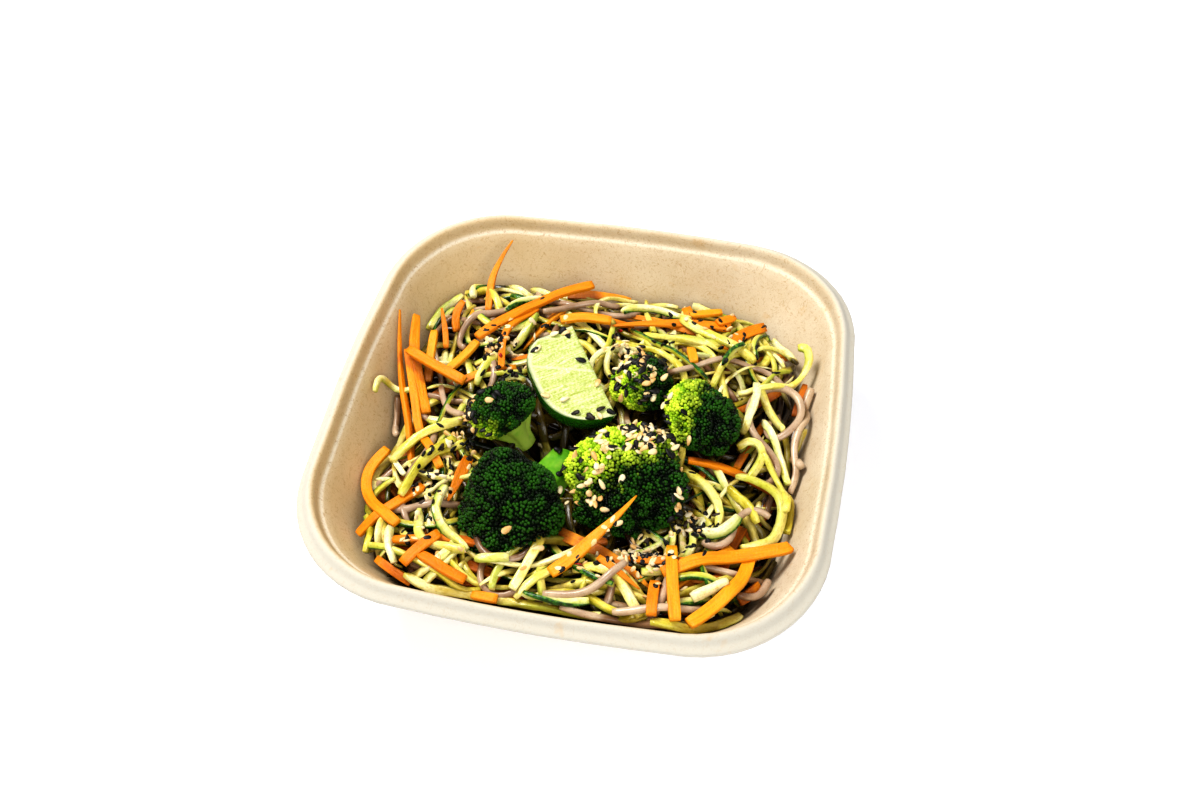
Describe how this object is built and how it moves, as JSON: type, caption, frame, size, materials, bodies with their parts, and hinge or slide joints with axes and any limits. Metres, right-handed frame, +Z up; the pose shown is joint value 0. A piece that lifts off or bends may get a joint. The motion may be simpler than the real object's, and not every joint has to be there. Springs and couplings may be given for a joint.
{
  "type": "soba noodle salad in a moulded-fibre tray",
  "caption": "Cold soba noodle salad with courgette noodles, carrot strips, broccoli florets, a lime wedge and sesame, heaped in a rounded square moulded-fibre takeaway tray.",
  "frame": {"origin": "bottom centre of the tray, on the surface it stands on", "axes": "+X to the right along the side nearest the eater, +Y away from the eater, +Z up"},
  "size_m": [0.1748, 0.1748, 0.0594],
  "materials": {
    "moulded_bagasse": "matt pressed pulp with faint darker fibres",
    "dressed_noodles": "moist, lightly oiled",
    "blanched_broccoli": "beaded buds, soft moist sheen",
    "cut_lime": "wet cut flesh, waxy rind",
    "raw_carrot": "moist cut surface"
  },
  "bodies": {
    "root": {"tray": "moulded_bagasse", "noodle_heap": "dressed_noodles", "broccoli_floret_front": "blanched_broccoli", "broccoli_floret_left": "blanched_broccoli", "broccoli_floret_middle": "blanched_broccoli", "broccoli_floret_right": "blanched_broccoli", "broccoli_floret_back": "blanched_broccoli", "lime_wedge": "cut_lime", "carrot_strip_front_short": "raw_carrot", "carrot_strip_front_curved": "raw_carrot", "carrot_strip_front_long": "raw_carrot", "carrot_strip_front_upright": "raw_carrot", "carrot_strip_on_broccoli": "raw_carrot", "carrot_strip_left_arc": "raw_carrot", "carrot_strip_front_left": "raw_carrot", "carrot_strip_left_leaning": "raw_carrot", "carrot_strip_left_wide": "raw_carrot", "carrot_strip_left_across": "raw_carrot", "carrot_strip_back_leaning": "raw_carrot", "carrot_strip_back_long": "raw_carrot", "carrot_strip_behind_lime": "raw_carrot"}
  },
  "joints": []
}
